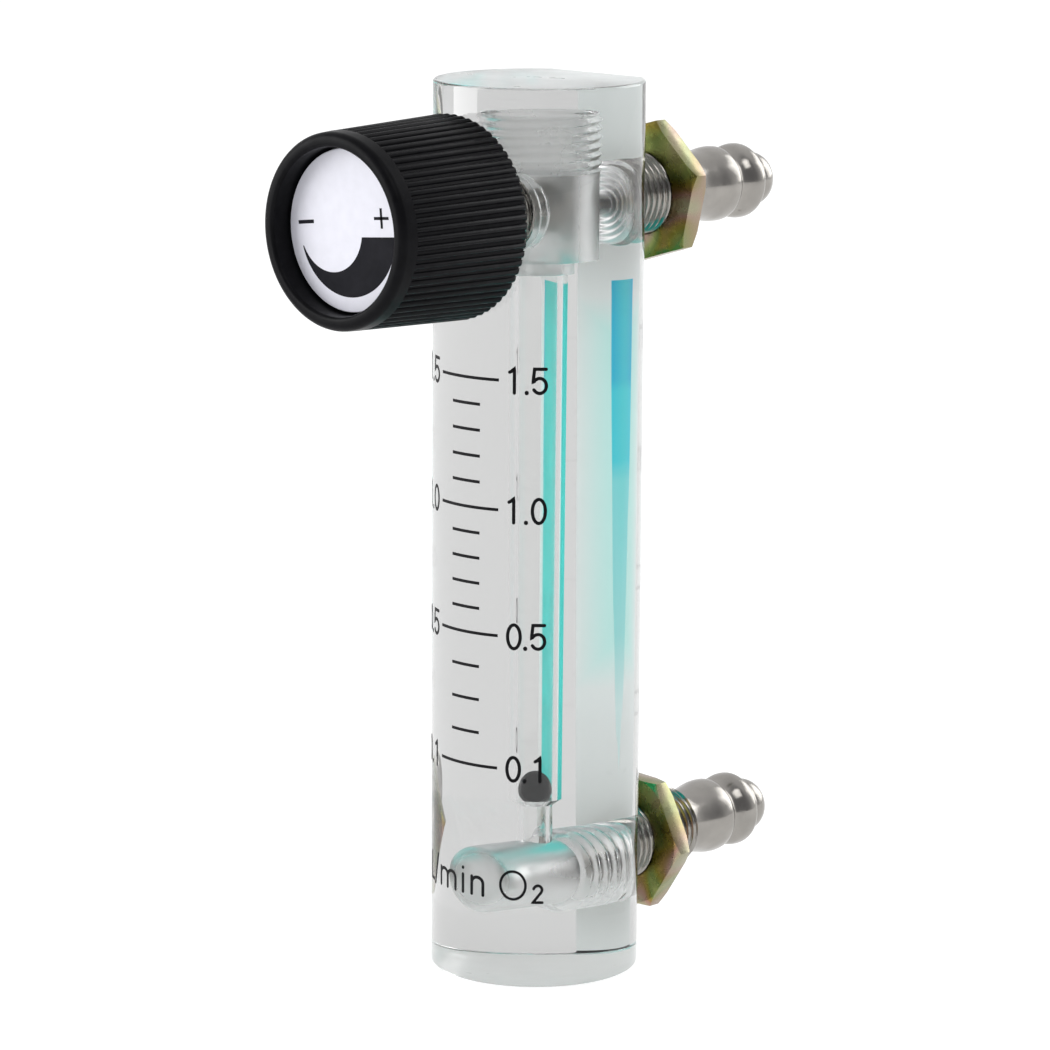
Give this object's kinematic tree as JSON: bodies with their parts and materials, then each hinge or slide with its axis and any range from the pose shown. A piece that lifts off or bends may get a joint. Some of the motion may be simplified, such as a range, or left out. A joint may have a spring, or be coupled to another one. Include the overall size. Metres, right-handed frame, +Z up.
{
  "type": "oxygen flowmeter",
  "caption": "Clear D-section variable-area flowmeter with a black float ball, a ribbed needle-valve knob at the front and hose fittings with lock nuts at the flat back.",
  "frame": {"origin": "centre of the body's round section on its flat base", "axes": "+Z up along the body, -Y toward the knob, +Y out of the flat back toward the hose fittings"},
  "size_m": [0.025, 0.0747, 0.107],
  "materials": {
    "clear_acrylic": "clear machined acrylic, polished outside and satin in the drilled passages",
    "black_ball": "glossy black ground ball",
    "nickel_plate": "bright nickel plate over turned brass",
    "yellow_zinc": "yellow passivated zinc with iridescent tints",
    "bare_brass": "turned brass",
    "screw_steel": "plain steel",
    "black_rubber": "matt moulded rubber",
    "white_nylon": "matt nylon",
    "knob_black": "satin moulded black plastic",
    "disc_white": "satin white with a dark printed wedge"
  },
  "bodies": {
    "root": {"body_block": "clear_acrylic", "top_plug": "clear_acrylic", "float_stop": "clear_acrylic", "inlet_fitting": "nickel_plate", "outlet_fitting": "nickel_plate", "inlet_nut": "yellow_zinc", "outlet_nut": "yellow_zinc", "valve_bush": "nickel_plate", "bush_o_ring": "black_rubber", "spindle_o_ring": "black_rubber", "gland_washer": "white_nylon", "gland_nut": "nickel_plate"},
    "float": {"float_ball": "black_ball"},
    "needle": {"valve_needle": "bare_brass"},
    "knob": {"valve_spindle": "nickel_plate", "knob": "knob_black", "knob_disc": "disc_white", "knob_washer": "screw_steel", "knob_screw": "screw_steel"}
  },
  "joints": [
    {"name": "float_rise", "type": "slide", "parent": "root", "child": "float", "axis": [0, 0, 1], "range_m": [0, 0.0597]},
    {"name": "needle_travel", "type": "slide", "parent": "root", "child": "needle", "axis": [0, -1, 0], "range_m": [0, 0.00275]},
    {"name": "knob_turn", "type": "hinge", "parent": "needle", "child": "knob", "pos_m": [0, -0.02, 0.092], "axis": [0, -1, 0], "range_deg": [0, 990]}
  ],
  "couplings": [
    {"joint": "needle_travel", "follows": "knob_turn", "m_per_rad": 0.00015915}
  ]
}
